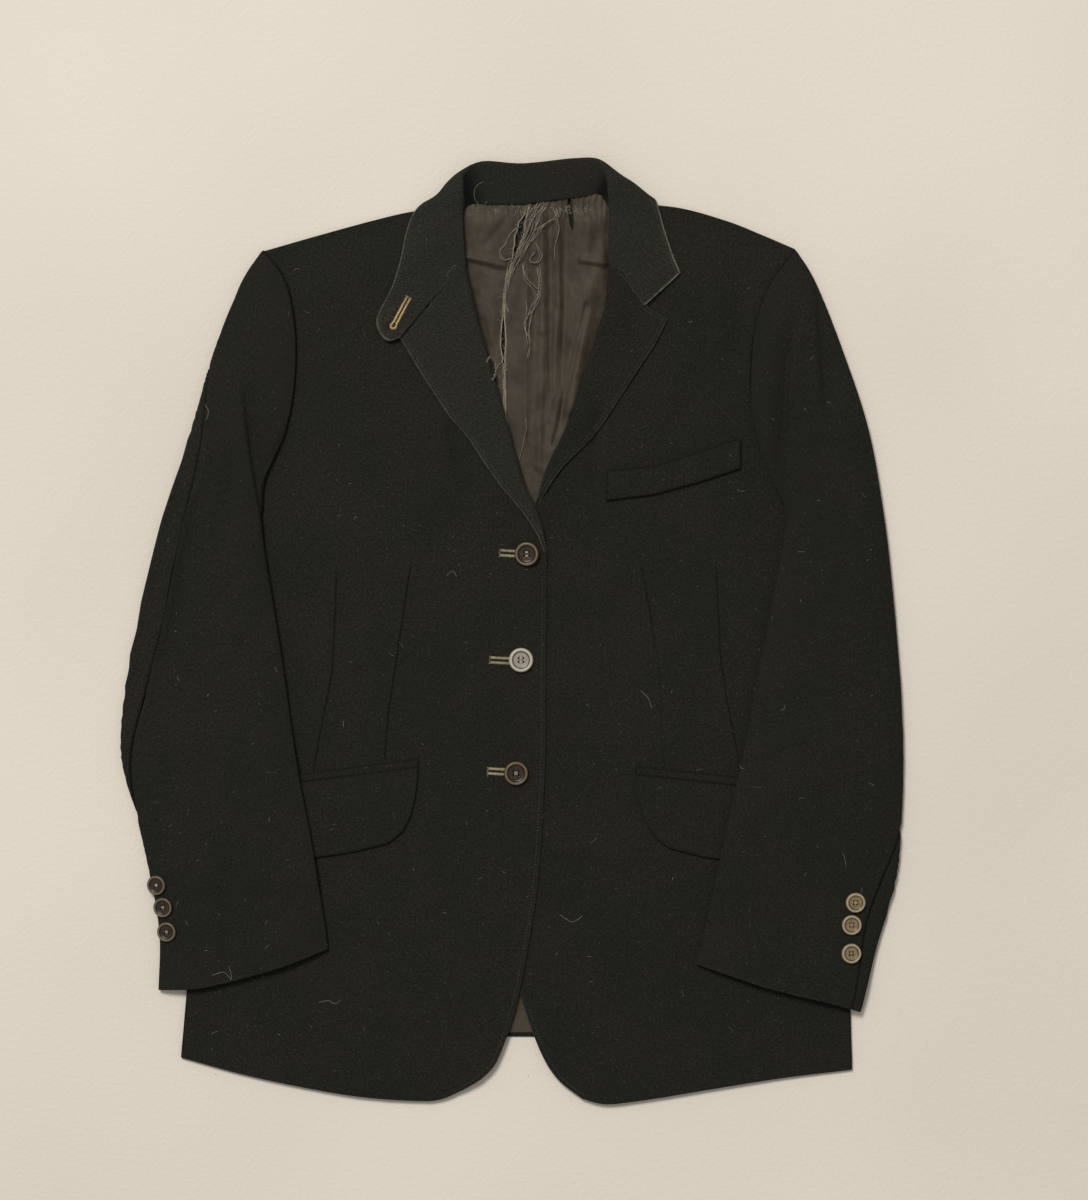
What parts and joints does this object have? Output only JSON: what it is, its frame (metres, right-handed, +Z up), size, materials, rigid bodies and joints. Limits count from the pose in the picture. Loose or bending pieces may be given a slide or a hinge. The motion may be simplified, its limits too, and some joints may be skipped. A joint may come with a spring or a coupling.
{
  "type": "riding coat",
  "caption": "Wool riding coat laid flat and buttoned, with notched lapels, a collar tab, hip pocket flaps, a breast welt and torn lining.",
  "frame": {"origin": "middle of the coat's outline, on the surface that it lies on", "axes": "+Y from the hem to the collar, +Z up, out of the front; the wearer's right side is at -X"},
  "size_m": [0.6253, 0.7572, 0.0174],
  "materials": {
    "wool": "matt, closely woven dark green-brown wool",
    "collar_wool": "the same wool, a little more worn and lighter",
    "lining": "brown-grey twill lining, worn, with a soft sheen",
    "dark_button": "dark brown polished horn look",
    "grey_button": "worn grey horn look"
  },
  "bodies": {
    "root": {"back": "wool", "front_left": "wool", "front_right": "wool", "back_lining_neck": "lining", "back_lining_hem": "lining", "lapel_left": "wool", "lapel_right": "collar_wool", "collar": "collar_wool", "breast_welt": "wool", "pocket_jetting_right": "wool", "pocket_jetting_left": "wool", "pocket_flap_right": "wool", "pocket_flap_left": "wool", "sleeve_top_right": "wool", "sleeve_under_right": "wool", "sleeve_top_left": "wool", "sleeve_under_left": "wool", "front_button_top": "dark_button", "front_button_middle": "grey_button", "front_button_low": "dark_button", "cuff_button_right_1": "dark_button", "cuff_button_left_1": "grey_button", "cuff_button_right_2": "dark_button", "cuff_button_left_2": "grey_button", "cuff_button_right_3": "dark_button", "cuff_button_left_3": "grey_button"}
  },
  "joints": []
}
